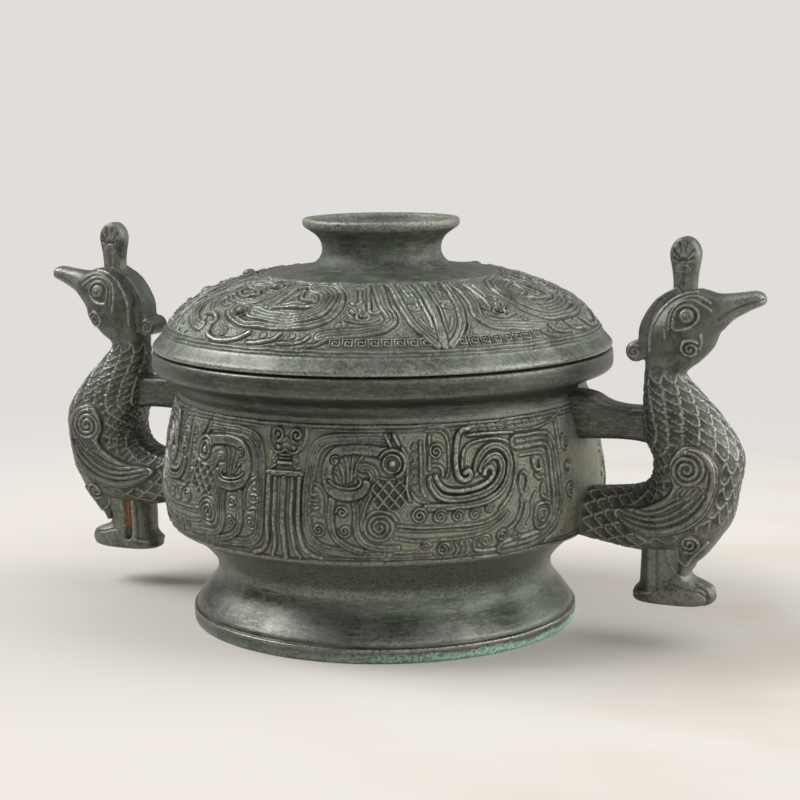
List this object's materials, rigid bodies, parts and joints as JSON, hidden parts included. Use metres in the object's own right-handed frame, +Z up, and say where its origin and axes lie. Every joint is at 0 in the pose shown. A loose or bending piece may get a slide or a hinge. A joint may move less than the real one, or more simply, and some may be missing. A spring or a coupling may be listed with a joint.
{
  "type": "bronze gui vessel",
  "caption": "Covered cast-bronze food vessel: round bowl on a flared ring foot, domed lid with ring knob that lifts off, and standing-bird handles.",
  "frame": {"origin": "centre of the ring foot's lower face, on the table", "axes": "+Z up through the lid's knob, +X towards the right-hand bird's beak, -Y towards the middle of the front ornament"},
  "size_m": [0.3728, 0.222, 0.193],
  "materials": {
    "bowl_bronze": "cast relief with grey-green patina and dust in the recesses",
    "dark_bronze": "smooth charcoal patina, satin",
    "lid_bronze": "cast relief with paler grey-green patina",
    "bird_bronze": "cast feather relief with grey-green patina, rubbed edges"
  },
  "bodies": {
    "vessel": {"bowl": "bowl_bronze", "ring_foot": "dark_bronze", "right_bird": "bird_bronze", "right_crest": "bird_bronze", "right_bridge": "dark_bronze", "right_legs": "bird_bronze", "right_wing_front": "bird_bronze", "right_wing_back": "bird_bronze", "left_bird": "bird_bronze", "left_crest": "bird_bronze", "left_bridge": "dark_bronze", "left_legs": "bird_bronze", "left_wing_front": "bird_bronze", "left_wing_back": "bird_bronze"},
    "lid": {"lid_dome": "lid_bronze", "lid_knob": "lid_bronze"}
  },
  "joints": [
    {"name": "lid_lift", "type": "slide", "parent": "vessel", "child": "lid", "axis": [0, 0, 1], "range_m": [0, 0.12]}
  ]
}
